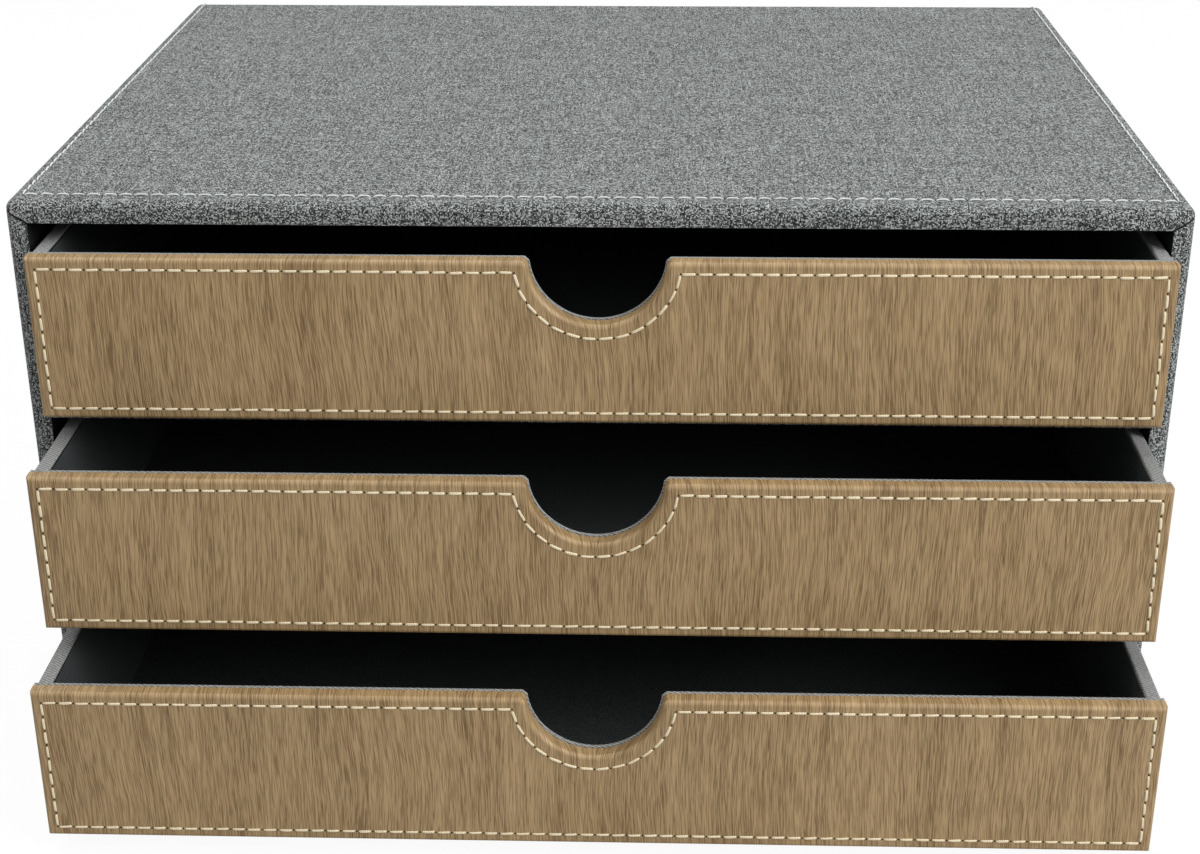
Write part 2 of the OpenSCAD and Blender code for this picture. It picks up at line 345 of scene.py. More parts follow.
def woven_finish(settings):
    """Grey linen-look plain weave, whose yarns turn from dark to light along their way, with
    painted shade in the gaps between the yarns and in the seam grooves.
    """
    finish = Finish("woven_cloth", Specular_IOR_Level=0.25, Sheen_Weight=0.08,
                    Sheen_Roughness=0.4)
    pitch = settings.yarn_pitch / MM
    stray = 0.6                          # how far a yarn strays from its line
    tone_run, slub_run = 0.75, 11        # how long a yarn keeps a tone, and a pale stretch
    tone_apart, slub_apart = 1.73, 2.31  # steps through the noise from yarn to yarn
    u, v, _ = finish.place("UV")
    across = (u + finish.noise(u / 9, v / 6, 3.1) * stray) / pitch
    along = (v + finish.noise(u / 6, v / 9, 9.7) * stray) / pitch
    warp, weft = finish.maths("FLOOR", across), finish.maths("FLOOR", along)
    warp_round, weft_round = (
        finish.maths("SINE", (way % 1) * math.pi) for way in (across, along))
    warp_tone = finish.noise(warp * tone_apart, v / tone_run, 5.2, detail=0.0)
    weft_tone = finish.noise(u / tone_run, weft * tone_apart, 4.4, detail=0.0)
    warp_slub = finish.noise(warp * slub_apart, v / slub_run, 7.2)
    weft_slub = finish.noise(u / slub_run, weft * slub_apart, 1.4)
    over = (warp + weft) % 2
    height = finish.blend(over, weft_round, warp_round)
    tone = finish.blend(over, weft_tone, warp_tone)
    slub = finish.blend(over, weft_slub, warp_slub)
    shade = tone.swing(3.0) + slub.swing(1.2) + 0.49
    yarn = finish.ramp(shade, (0.0, settings.dark_yarn), (0.5, settings.middle_yarn),
                       (1.0, settings.light_yarn))
    # Painted shade along each corner seam: where the fold value marks the groove, the cloth is
    # darkened.
    painted_fold_shade = finish.step(finish.value("fold"), 0.0, 0.7)
    # Painted shade: the low gaps between yarn crossings are darkened towards half the dark yarn.
    lit = finish.step(height, 0.0, 0.8) * 0.75 + 0.25 - painted_fold_shade
    return finish.cover(finish.colours(lit, shaded(settings.dark_yarn, 0.5), yarn),
                        roughness=0.92 - height * 0.12,
                        height=height * 0.7 + tone * 0.3, depth=0.14)


def wood_grain_finish(settings):
    """Wood-grain film: fine upright streaks that lean and waver, with short dark pores."""
    finish = Finish("wood_grain_film", Specular_IOR_Level=0.55)
    u, v, _ = finish.place("UV")
    lean = finish.noise(u / 85, v / 75, 2.2).swing(9.0)
    waver = finish.noise(u / 2.2, v / 13 + u * 0.3, 5.4).swing(0.7)
    line = u + lean + waver

    def streaks(width, run, layer, slant, low, high):
        """Sharp streaks along the grain, whose slant keeps their ends out of line."""
        field = finish.noise(line / width, v / run + line * slant, layer, detail=0.0)
        return finish.step(field, low, high)

    fine = streaks(0.23, 7, 1.5, slant=1.6, low=0.36, high=0.64)
    pores = streaks(0.25, 3, 4.5, slant=1.9, low=0.5, high=0.7)
    bands = finish.noise(line / 1.1, v / 50 + line * 0.3, 7.4)
    fields = finish.noise(line / 7.0, v / 90, 3.6)
    stain = finish.noise(u / 30, v / 26, 8.8, detail=2.0)
    shade = fine.swing(0.38) - pores * 0.16 + bands.swing(0.35) + fields.swing(0.4) + 0.52
    wood = finish.ramp(shade, (0.1, settings.dark_grain), (0.52, settings.main_grain),
                       (0.92, settings.light_grain))
    olive = (0.42, 0.40, 0.30)
    stained = finish.colours(finish.step(stain, 0.3, 0.7) * 0.15, wood, olive, "SOFT_LIGHT")
    return finish.cover(stained, roughness=0.4 + (1 - fine) * 0.14,
                        height=fine * 0.5 - pores * 0.5, depth=0.05)


def ribbed_finish(settings):
    """Grey twill tape: slanting ribs with a fine cross thread, with painted shade in the grooves
    between them.
    """
    finish = Finish("ribbed_tape", Specular_IOR_Level=0.2, Sheen_Weight=0.1)
    place = finish.place("Object")
    pitch = settings.rib_pitch / MM
    across_ribs, across_threads, thread_pitch = (0.55, 0.83, 0.7), (0.8, -0.6, 0.5), pitch * 0.55
    wander = finish.speckle(place, 6) * 0.8
    rib = finish.wave(finish.along(place, across_ribs) / pitch + wander)
    thread = finish.wave(finish.along(place, across_threads) / thread_pitch)
    flecks = finish.speckle(place, 0.5, detail=2.0)
    height = rib * 0.7 + thread * 0.3
    # Painted shade and light: the grooves between ribs and threads are darker and their crests
    # lighter; the flecks are the tape's own tone.
    shade = rib * 0.5 + thread * 0.2 + flecks.swing(1.3) + 0.15
    tape = finish.ramp(shade, (0.1, settings.wrap_dark), (0.9, settings.wrap_light))
    return finish.cover(tape, roughness=0.9 - height * 0.1, height=height, depth=0.12)


def liner_finish(settings):
    """Black twill: fine raised lines on the slant, painted lighter as a highlight, over a darker
    ground.
    """
    finish = Finish("black_twill", Specular_IOR_Level=0.3)
    place = finish.place("Object")
    across_lines, pitch = (0.6, 0.75, 0.85), 0.8
    wander = finish.speckle(place, 5) * 0.7
    line = finish.wave(finish.along(place, across_lines) / pitch + wander)
    flecks = finish.speckle(place, 0.4, detail=2.0)
    # Painted highlight: the raised lines are lighter than the ground between them; the flecks are
    # the twill's own tone.
    shade = line * 0.55 + flecks.swing(1.4) + 0.2
    twill = finish.ramp(shade, (0.1, settings.liner_dark), (0.9, settings.liner_light))
    return finish.cover(twill, roughness=0.78 - line * 0.1, height=line, depth=0.08)


def lining_finish(settings):
    """Matt black paper lining with a faint tooth."""
    finish = Finish("black_paper", Specular_IOR_Level=0.2)
    tooth = finish.speckle(finish.place("Object"), 0.7, detail=3.0)
    black = settings.lining_colour
    return finish.cover(finish.colours(tooth, shaded(black, 0.6), shaded(black, 1.5)),
                        roughness=0.75 + tooth * 0.2, height=tooth, depth=0.05)


def leather_look_finish(settings):
    """Dark leather-look sheet under the case: small pebbles with smoother tops, painted lighter,
    and painted shade in the creases between them.
    """
    finish = Finish("leather_look", Specular_IOR_Level=0.4)
    pebble = 1.3
    place = finish.vector(*(axis / pebble for axis in finish.place("Object")))
    pebbles = finish.node("TexVoronoi", {"feature": "SMOOTH_F1"},
                          {"Vector": place, "Scale": 1.0})
    crease = finish.step(Signal(finish, pebbles.outputs["Distance"]), 0.15, 0.75)
    base = settings.base_colour
    # Painted shade and light: the creases between pebbles are darker, the pebbles' tops lighter.
    return finish.cover(finish.colours(crease, shaded(base, 1.25), shaded(base, 0.6)),
                        roughness=0.5 + crease * 0.3, height=1 - crease, depth=0.12)


def board_finish(settings):
    """Pressed fibreboard: short tangled fibres, lighter and darker."""
    finish = Finish("fibreboard", Specular_IOR_Level=0.2)
    x, y, z = finish.place("Object")
    fibres = finish.noise(x / 0.8, y / 2.4, z / 0.5, detail=4.0, roughness=0.65)
    board = settings.board_colour
    return finish.cover(finish.colours(fibres, shaded(board, 0.7), shaded(board, 1.25)),
                        roughness=0.85 + fibres * 0.1, height=fibres, depth=0.05)


def thread_finish(name, thread):
    """Twisted sewing thread, with the plies wound along the stitch's UV map and painted shade in
    the grooves between them.
    """
    finish = Finish(name, Specular_IOR_Level=0.35, Sheen_Weight=0.1)
    u, v, _ = finish.place("UV")
    ply = finish.wave(u * 1.6 + v * 2)
    # Painted shade: the grooves between the plies are darker.
    return finish.cover(finish.colours(ply, shaded(thread, 0.8), thread),
                        roughness=0.62 - ply * 0.12, height=ply, depth=0.08)


def needle_hole_finish():
    """Painted shade for the inside of a needle hole, speckled from black to dark brown."""
    finish = Finish("needle_hole", Specular_IOR_Level=0.1)
    # Painted shade inside the hole, speckled from black to dark brown.
    hole_shade_speckle = finish.speckle(finish.place("Object"), 0.3)
    black, brown = (0.012, 0.009, 0.006), (0.05, 0.035, 0.02)
    return finish.cover(finish.colours(hole_shade_speckle, black, brown), roughness=0.85 + hole_shade_speckle * 0.1)


def shared(name, make, *settings):
    """A material that an earlier operator has made, or else a new one."""
    return bpy.data.materials.get(name) or make(*settings)


# ---- making pieces


def dress(name, bm, finishes, body, replaced=()):
    """Turns a bmesh into a finished piece that rides on a body."""
    sharp = math.radians(40)
    for face in bm.faces:
        face.smooth = True
    for edge in bm.edges:
        edge.smooth = edge.is_boundary or edge.calc_face_angle(0.0) < sharp
    mesh = as_mesh(bm, name)
    piece = bpy.data.objects.new(name, mesh)
    bpy.context.scene.collection.objects.link(piece)
    for finish in finishes:
        mesh.materials.append(finish)
    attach(piece, body)
    if replaced:
        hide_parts(*replaced)
    return piece


def as_mesh(bm, name):
    """A mesh with a bmesh's shape, which is then freed."""
    mesh = bpy.data.meshes.new(name)
    bm.to_mesh(mesh)
    bm.free()
    return mesh


def join(bm, other):
    """Adds another bmesh's shape to this one, and frees it."""
    mesh = as_mesh(other, "joined")
    bm.from_mesh(mesh)
    bpy.data.meshes.remove(mesh)


def thicken(piece, thickness, rounding=0, even=True):
    """Gives a sheet its thickness inwards, softens its cut edges and evens its shading."""
    sheet = piece.modifiers.new("thickness", "SOLIDIFY")
    sheet.thickness = thickness
    sheet.offset = -1.0
    sheet.use_even_offset = even
    if rounding:
        edges = piece.modifiers.new("soft_edges", "BEVEL")
        edges.width = rounding
        edges.segments = 2
        edges.limit_method = "ANGLE"
        edges.angle_limit = math.radians(60)
        edges.harden_normals = False
    even_shading(piece)


def even_shading(piece):
    shading = piece.modifiers.new("even_shading", "WEIGHTED_NORMAL")
    shading.keep_sharp = True


def block(low, high):
    """A bmesh box between two corners."""
    bm = bmesh.new()
    low, high = Vector(low), Vector(high)
    place = Matrix.Translation((low + high) / 2) @ Matrix.Diagonal((*(high - low), 1.0))
    bmesh.ops.create_cube(bm, size=1.0, matrix=place)
    return bm


def round_off(bm, edges, radius, segments):
    bmesh.ops.bevel(bm, geom=list(edges), offset=radius, offset_type="OFFSET",
                    segments=segments, profile=0.5, affect="EDGES", material=-1,
                    clamp_overlap=True)


def facing(bm, direction):
    """The largest face that looks along a direction."""
    faces = [f for f in bm.faces if f.normal.dot(direction) > 0.999]
    if not faces:
        raise RuntimeError("no face of the piece looks that way")
    return max(faces, key=lambda f: f.calc_area())


def running(bm, axis):
    """The edges that run along an axis: 0 for X, 1 for Y and 2 for Z."""
    return [e for e in bm.edges if abs(e.verts[0].co[axis] - e.verts[1].co[axis]) > NEAR]


def only_verts(geometry):
    return [item for item in geometry if isinstance(item, bmesh.types.BMVert)]


def drop_faces(bm, faces):
    bmesh.ops.delete(bm, geom=list(faces), context="FACES")


def split_wide_faces(bm):
    """Turns each face of more than four corners into triangles."""
    bmesh.ops.triangulate(bm, faces=[f for f in bm.faces if len(f.verts) > 4])


def shift_across(bm, distance):
    """Moves a shape that was made round X = 0 to its drawer's centre line."""
    bmesh.ops.translate(bm, verts=list(bm.verts), vec=(distance, 0, 0))


def unroll(bm, name, place):
    """Gives a bmesh a UV map, from a function of a face and one of its points."""
    uv = bm.loops.layers.uv.new(name)
    for face in bm.faces:
        for loop in face.loops:
            loop[uv].uv = place(face, loop.vert.co)


def notched_panel(half_width, low, high, y, notch_radius, notch_z, notch_corner):
    """A flat upright panel that looks towards -Y, with a round notch in its top edge."""
    bm = bmesh.new()
    corner_z = high - notch_corner
    corner_x = math.sqrt(notch_radius ** 2 - (notch_z - corner_z) ** 2)
    top_x = math.sqrt(notch_radius ** 2 - (high - notch_z) ** 2) + notch_corner
    start = bm.verts.new((-corner_x, y, corner_z))
    turn = math.pi + 2 * math.asin((corner_z - notch_z) / notch_radius)
    arc = bmesh.ops.spin(bm, geom=[start], cent=(0, y, notch_z), axis=(0, 1, 0), angle=-turn,
                         steps=40, dvec=(0, 0, 0), use_merge=False, use_duplicate=False)
    last = only_verts(arc["geom_last"])[0]
    outline = [(top_x, high), (half_width, high), (half_width, low),
               (-half_width, low), (-half_width, high), (-top_x, high)]
    for x, z in outline:
        last = bmesh.ops.extrude_vert_indiv(bm, verts=[last])["verts"][0]
        last.co = (x, y, z)
    bm.edges.new((last, start))
    bmesh.ops.contextual_create(bm, geom=list(bm.edges))
    bmesh.ops.recalc_face_normals(bm, faces=list(bm.faces))
    panel = bm.faces[:][0]
    if panel.normal.y > 0:
        panel.normal_flip()
    return bm


def deepen(bm, depth):
    """Pulls a flat panel back into a block, and returns its front face's border."""
    pulled = bmesh.ops.extrude_face_region(bm, geom=[facing(bm, FRONT)])
    bmesh.ops.translate(bm, verts=only_verts(pulled["geom"]), vec=(0, depth, 0))
    bmesh.ops.recalc_face_normals(bm, faces=list(bm.faces))
    return list(facing(bm, FRONT).edges)


def round_corners(bm, half_width, low, high, depth_start, corner_radius):
    """Rounds the four outer corners of a panel, from its back over its round front edge."""
    middle = (low + high) / 2

    def at_corner(vert):
        side = half_width - abs(vert.co.x)
        end = (high - low) / 2 - abs(vert.co.z - middle)
        return abs(side - end) < NEAR and side < depth_start

    round_off(bm, [e for e in bm.edges if all(at_corner(v) for v in e.verts)],
              corner_radius, 3)


# ---- the case


def case_shell(settings):
    """The case's outer skin with round edges, open at its front and behind its turn-ins."""
    bm = block(CASE_LOW, CASE_HIGH)
    round_off(bm, bm.edges, settings.edge_radius, 4)
    turn_in, base_turn_in = settings.rear_turn_in, OPENING_LOW * 1.8
    for direction, half, low, high in (
            (FRONT, BAY_HALF_WIDTH, OPENING_LOW, OPENING_HIGH),
            (REAR, CASE_HIGH.x - turn_in, base_turn_in, CASE_HIGH.z - turn_in)):
        face = facing(bm, direction)
        bmesh.ops.inset_region(bm, faces=[face], thickness=1 * MM, use_even_offset=True)
        for vert in face.verts:
            vert.co.x = math.copysign(half, vert.co.x)
            vert.co.z = high if vert.co.z > CASE_HIGH.z / 2 else low
        drop_faces(bm, [face])
    return bm


def mitre(side, rise, upper):
    """A point and a normal of the plane through one corner of the opening."""
    corner = Vector((side * BAY_HALF_WIDTH, 0, OPENING_HIGH if upper else OPENING_LOW))
    out = Vector((side * (CASE_HIGH.x - BAY_HALF_WIDTH), 0, rise if upper else -OPENING_LOW))
    return corner, out.cross(REAR).normalized()


def slice_faces(bm, faces, point, normal):
    """Cuts some of the faces along a plane."""
    edges = dict.fromkeys(e for f in faces for e in f.edges)
    verts = dict.fromkeys(v for f in faces for v in f.verts)
    bmesh.ops.bisect_plane(bm, geom=[*verts, *edges, *faces], dist=NEAR / 10,
                           plane_co=point, plane_no=normal)


def split_case_shell(bm):
    """Cuts the skin along its lower mitres and tells which faces belong to the base."""
    reach = 20 * MM
    for side in (-1, 1):
        slice_faces(bm, [f for f in bm.faces
                         if f.calc_center_median().x * side > CASE_HIGH.x - reach],
                    *mitre(side, 0, upper=False))
    slope = OPENING_LOW / (CASE_HIGH.x - BAY_HALF_WIDTH)

    def is_base(face):
        centre = face.calc_center_median()
        return centre.z < min(reach, (CASE_HIGH.x - abs(centre.x)) * slope + NEAR)

    return [f for f in bm.faces if is_base(f)]


def press_seams(bm, settings):
    """Presses a groove along the front mitre at both upper corners of the opening, and marks the
    groove's middle with the fold value, which the woven finish turns into painted shade.
    """
    fold = bm.verts.layers.float.new("fold")
    bend = CASE_LOW.y + settings.edge_radius
    groove_end = CASE_LOW.y + settings.edge_radius * 0.9
    below = 5 * MM     # how far the cut faces reach down from the corner
    beside = 0.8 * MM  # where the long faces are cut off next to the groove

    def at_corner(side):
        return [f for f in bm.faces if f.calc_center_median().y < bend
                and max(v.co.z for v in f.verts) > OPENING_HIGH - below
                and max(v.co.x * side for v in f.verts) > BAY_HALF_WIDTH - CLOSE]

    for side in (-1, 1):
        point, normal = mitre(side, settings.seam_rise, upper=True)
        slice_faces(bm, at_corner(side), point - Vector((side * beside, 0, 0)),
                    Vector((1, 0, 0)))
        for step in (-0.5, 0, 0.5):
            slice_faces(bm, at_corner(side), point + normal * settings.seam_width * step, normal)
        bm.normal_update()
        for vert in bm.verts:
            x, y, z = vert.co
            if abs((vert.co - point).dot(normal)) < NEAR and x * side > BAY_HALF_WIDTH - CLOSE \
                    and y < groove_end and z > OPENING_HIGH / 2:
                vert.co -= vert.normal * settings.seam_depth
                # The fold value marks where the woven finish paints shade in the groove.
                vert[fold] = 1.0


def lay_cloth(bm, settings):
    """Unrolls the folded sheet into its UV map, so that the weave runs over each fold."""
    width, front, rear, top = CASE_HIGH.x, CASE_LOW.y, CASE_HIGH.y, CASE_HIGH.z
    rise = settings.seam_rise / (width - BAY_HALF_WIDTH)
    sideways = 0.7  # the least X of a normal that looks to a side

    def place(face, point):
        centre = face.calc_center_median()
        beyond = abs(centre.x) - BAY_HALF_WIDTH
        if beyond > 0 and centre.z - OPENING_HIGH < beyond * rise \
                or abs(face.normal.x) > sideways:
            across = math.copysign(width + top - point.z, centre.x)
            inset = width - abs(point.x)
        else:
            across, inset = point.x, top - point.z
        if centre.y < front + settings.edge_radius:
            return across, point.y - inset
        if centre.y > rear - settings.edge_radius:
            return across, point.y + inset
        return across, point.y

    unroll(bm, "cloth", place)


class DESKORGANISER_OT_case_covers(bpy.types.Operator):
    """Fold the woven cover over the case, and lay the base cover and the rear panel"""
    bl_idname = "deskorganiser.case_covers"
    bl_label = "Case covers"

    def execute(self, context):
        settings = context.scene.desk_case
        woven = woven_finish(settings)
        cut_edge = 0.25 * MM
        shell = case_shell(settings)
        drop_faces(shell, split_case_shell(shell))
        press_seams(shell, settings)
        lay_cloth(shell, settings)
        sheet = dress("woven_case_cover", shell, [woven], "case",
                      ["outer_cover"])
        thicken(sheet, COVER_THICKNESS, cut_edge)

        base = case_shell(settings)
        kept = set(split_case_shell(base))
        drop_faces(base, [f for f in base.faces if f not in kept])
        sheet = dress("leather_look_base", base, [leather_look_finish(settings)], "case",
                      ["base_cover"])
        thicken(sheet, COVER_THICKNESS, cut_edge)

        inset = settings.rear_panel_inset
        proud, corner_radius, rim_radius = 0.3 * MM, 1.2 * MM, 0.5 * MM
        panel = block((CASE_LOW.x + inset, CASE_HIGH.y - COVER_THICKNESS, CASE_LOW.z + inset),
                      (CASE_HIGH.x - inset, CASE_HIGH.y + proud, CASE_HIGH.z - inset))
        round_off(panel, running(panel, 1), corner_radius, 3)
        round_off(panel, facing(panel, REAR).edges, rim_radius, 3)
        unroll(panel, "cloth", lambda face, point: (-point.x, point.z))
        even_shading(dress("woven_rear_panel", panel, [woven], "case",
                           ["rear_cover"]))
        return {"FINISHED"}


class DESKORGANISER_OT_bays(bpy.types.Operator):
    """Finish the bay linings and the boards, whose shapes come from the frame"""
    bl_idname = "deskorganiser.bays"
    bl_label = "Bays and boards"

    def execute(self, context):
        settings = context.scene.desk_drawers
        lining = lining_finish(settings)
        board = board_finish(settings)
        for name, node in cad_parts.items():
            if name.endswith("_bay_lining"):
                finish = lining
            elif name.endswith(("_board", "_shelf", "_wall", "_floor")):
                finish = board
            else:
                continue
            node.data.materials.clear()
            node.data.materials.append(finish)
        return {"FINISHED"}


class DESKORGANISER_OT_case_boards(bpy.types.Operator):
    """Make the top and base boards, with corners softened to fit inside the round cover"""
    bl_idname = "deskorganiser.case_boards"
    bl_label = "Top and base boards"

    def execute(self, context):
        board = shared("fibreboard", board_finish, context.scene.desk_drawers)
        radius = context.scene.desk_case.edge_radius * 0.6
        for level, outwards in (("top", UP), ("base", DOWN)):
            node = f"{level}_board"
            bm = block(*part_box(node))
            rounded = {*facing(bm, outwards).edges, *running(bm, 2)}
            round_off(bm, [e for e in bm.edges if e in rounded], radius, 3)
            even_shading(dress(f"{level}_softened_board", bm, [board], "case",
                               [node]))
        return {"FINISHED"}


class DESKORGANISER_OT_shelf_edgings(bpy.types.Operator):
    """Lay a woven strip with soft edges over the front of each shelf"""
    bl_idname = "deskorganiser.shelf_edgings"
    bl_label = "Shelf edgings"

    def execute(self, context):
        woven = shared("woven_cloth", woven_finish, context.scene.desk_case)
        fold_radius = 0.7 * MM
        for level in ("upper", "lower"):
            node = f"{level}_shelf_edging"
            low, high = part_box(node)
            strip = block(low, high)
            border = set(facing(strip, FRONT).edges)
            round_off(strip, [e for e in running(strip, 0) if e in border], fold_radius, 4)
            unroll(strip, "cloth", lambda face, point: (
                point.x, point.z + (low.y - point.y) * face.normal.z))
            even_shading(dress(f"{level}_woven_edging", strip, [woven], "case",
                               [node]))
        return {"FINISHED"}


# ---- the drawers


def drawer_node(drawer, piece):
    """A drawer's node of the frame: its name, corners, half width and middle across."""
    node = f"{drawer}_{piece}"
    low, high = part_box(node)
    return node, low, high, (high.x - low.x) / 2, (high.x + low.x) / 2


def notch_centre_z(drawer, settings):
    """Height of a drawer's notch centre, from the top of its front cover."""
    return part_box(f"{drawer}_front_cover")[1].z + settings.notch_rise


class DESKORGANISER_OT_front_covers(bpy.types.Operator):
    """Wrap each drawer front in wood-grain film, round at its edges and in its notch"""
    bl_idname = "deskorganiser.front_covers"
    bl_label = "Front covers"

    def execute(self, context):
        settings = context.scene.desk_fronts
        film = wood_grain_finish(settings)
        for number, drawer in enumerate(DRAWERS):
            node, low, high, half, middle = drawer_node(drawer, "front_cover")
            centre_z = notch_centre_z(drawer, settings)
            bm = notched_panel(half, low.z, high.z, low.y, settings.notch_radius, centre_z,
                               settings.notch_corner)
            border = deepen(bm, high.y - low.y)
            round_off(bm, border, settings.edge_radius, 6)
            round_off(bm, facing(bm, REAR).edges, settings.rear_radius, 2)
            drop_faces(bm, [facing(bm, REAR)])
            round_corners(bm, half, low.z, high.z, settings.edge_radius * 0.99,
                          settings.corner_radius)
            split_wide_faces(bm)
            self.lay_film(bm, low.y, Vector((0, centre_z)), settings, number)
            shift_across(bm, middle)
            piece = dress(f"{drawer}_wood_grain_cover", bm, [film], f"{drawer}_drawer",
                          [node])
            thicken(piece, COVER_THICKNESS, even=False)
        return {"FINISHED"}

    def lay_film(self, bm, front_y, notch_centre, settings, number):
        """Unrolls the film into its UV map: it turns back over each edge and into the notch."""
        shift = number * Vector((71 * MM, 13 * MM))  # so that each front has its own grain
        slack = 0.2 * MM
        notch_reach = settings.notch_radius + settings.edge_radius + slack

        def place(face, point):
            centre = face.calc_center_median()
            inwards = notch_centre - centre.xz
            normal = face.normal.xz
            if centre.y < front_y + NEAR:
                way = Vector((0, 0))
            elif inwards.length < notch_reach and inwards.dot(normal) > 0:
                way = inwards.normalized()
            elif abs(normal.x) > abs(normal.y):
                way = Vector((math.copysign(1, normal.x), 0))
            else:
                way = Vector((0, math.copysign(1, normal.y)))
            return point.xz + way * (point.y - front_y) + shift

        unroll(bm, "film", place)


class DESKORGANISER_OT_front_linings(bpy.types.Operator):
    """Line the inner side of each front with a ribbed panel that shows round its edge"""
    bl_idname = "deskorganiser.front_linings"
    bl_label = "Front linings"

    def execute(self, context):
        fronts, drawers = context.scene.desk_fronts, context.scene.desk_drawers
        ribbed = shared("ribbed_tape", ribbed_finish, drawers)
        rim_radius = 0.32 * MM
        for drawer in DRAWERS:
            node, low, high, half, middle = drawer_node(drawer, "front_lining")
            bm = notched_panel(half, low.z, high.z, low.y,
                               fronts.notch_radius - drawers.notch_rim,
                               notch_centre_z(drawer, fronts), fronts.notch_corner)
            deepen(bm, high.y - low.y)
            round_off(bm, [*facing(bm, FRONT).edges, *facing(bm, REAR).edges], rim_radius, 2)
            split_wide_faces(bm)
            shift_across(bm, middle)
            even_shading(dress(f"{drawer}_ribbed_front_lining", bm, [ribbed],
                               f"{drawer}_drawer", [node]))
        return {"FINISHED"}


class DESKORGANISER_OT_drawer_wraps(bpy.types.Operator):
    """Wrap the walls and underside of each drawer, with a soft rim along the walls' tops"""
    bl_idname = "deskorganiser.drawer_wraps"
    bl_label = "Drawer wraps"

    def execute(self, context):
        settings = context.scene.desk_drawers
        ribbed = shared("ribbed_tape", ribbed_finish, settings)
        sharp = 1.0  # the least fold of a rim's edge, in radians
        for drawer in DRAWERS:
            node, low, high, _, middle = drawer_node(drawer, "wrap")
            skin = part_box(f"{drawer}_floor")[0].z - low.z
            wall, middle_y = settings.wall_build, (low.y + high.y) / 2
            bm = block(low, high)
            top = facing(bm, UP)
            bmesh.ops.inset_region(bm, faces=[top], thickness=1 * MM, use_even_offset=True)
            for vert in top.verts:
                vert.co.x = high.x - wall if vert.co.x > middle else low.x + wall
                vert.co.y = high.y - wall if vert.co.y > middle_y else low.y
            lip = bmesh.ops.extrude_face_region(bm, geom=[top])
            moved = only_verts(lip["geom"])
            bmesh.ops.translate(bm, verts=moved, vec=(0, 0, -skin * 2))
            drop_faces(bm, [f for f in bm.faces
                            if all(v.co.y < low.y + NEAR for v in f.verts)
                            or all(v in moved for v in f.verts) or f is top])
            bmesh.ops.dissolve_degenerate(bm, dist=NEAR, edges=list(bm.edges))
            round_off(bm, [e for e in bm.edges if not e.is_boundary
                           and e.calc_face_angle(0) > sharp
                           and max(v.co.z for v in e.verts) > high.z - NEAR],
                      settings.rim_radius, 4)
            bmesh.ops.recalc_face_normals(bm, faces=list(bm.faces))
            piece = dress(f"{drawer}_ribbed_wrap", bm, [ribbed], f"{drawer}_drawer",
                          [node])
            thicken(piece, skin)
        return {"FINISHED"}


class DESKORGANISER_OT_drawer_liners(bpy.types.Operator):
    """Lay the black twill liner into each drawer, cut away behind the finger notch"""
    bl_idname = "deskorganiser.drawer_liners"
    bl_label = "Drawer liners"

    def execute(self, context):
        fronts, drawers = context.scene.desk_fronts, context.scene.desk_drawers
        twill = liner_finish(drawers)
        cloth, fold_radius, notch_corner = LINING_THICKNESS, 1.4 * MM, 0.1 * MM
        for drawer in DRAWERS:
            node, low, high, half, middle = drawer_node(drawer, "liner")
            bm = block((low.x, low.y + cloth, low.z), high)
            drop_faces(bm, [facing(bm, UP), facing(bm, FRONT)])
            round_off(bm, [e for e in bm.edges if not e.is_boundary], fold_radius, 4)
            bmesh.ops.solidify(bm, geom=list(bm.faces), thickness=cloth)
            wall = notched_panel(half, low.z, high.z, low.y,
                                 fronts.notch_radius + drawers.notch_liner_gap,
                                 notch_centre_z(drawer, fronts), notch_corner)
            deepen(wall, cloth)
            split_wide_faces(wall)
            shift_across(wall, middle)
            join(bm, wall)
            even_shading(dress(f"{drawer}_black_liner", bm, [twill], f"{drawer}_drawer",
                               [node]))
        return {"FINISHED"}


# ---- stitching


def stitch_form(radius, arch, flatten):
    """One stitch of unit length along X: a thread that dives at both ends."""
    bm = bmesh.new()
    bmesh.ops.create_cone(bm, segments=6, radius1=radius, radius2=radius, depth=1.0,
                          cap_ends=True, cap_tris=False,
                          matrix=Matrix.Rotation(math.pi / 2, 4, "Y"))
    bmesh.ops.subdivide_edges(bm, edges=running(bm, 0), cuts=7, use_grid_fill=True)
    unroll(bm, "thread", lambda face, point: (
        point.x * 4 * MM, math.atan2(point.y, point.z) / math.tau * MM))
    thinning, dive = 0.42, radius * 0.85
    for vert in bm.verts:
        outwards = abs(vert.co.x) * 2
        taper = 1 - thinning * outwards ** 5
        vert.co.y *= taper
        vert.co.z *= taper * flatten
        vert.co.z += arch * (1 - outwards ** 2.4) - dive * outwards ** 7
    return bm


def hole_form(radius):
    """The rim of one needle hole, a thin dark disc that lies in the cover's surface in place of
    the shade inside the hole.
    """
    bm = bmesh.new()
    bmesh.ops.create_cone(bm, segments=8, radius1=radius, radius2=radius * 0.86,
                          depth=0.06 * MM, cap_ends=True, cap_tris=False)
    return bm


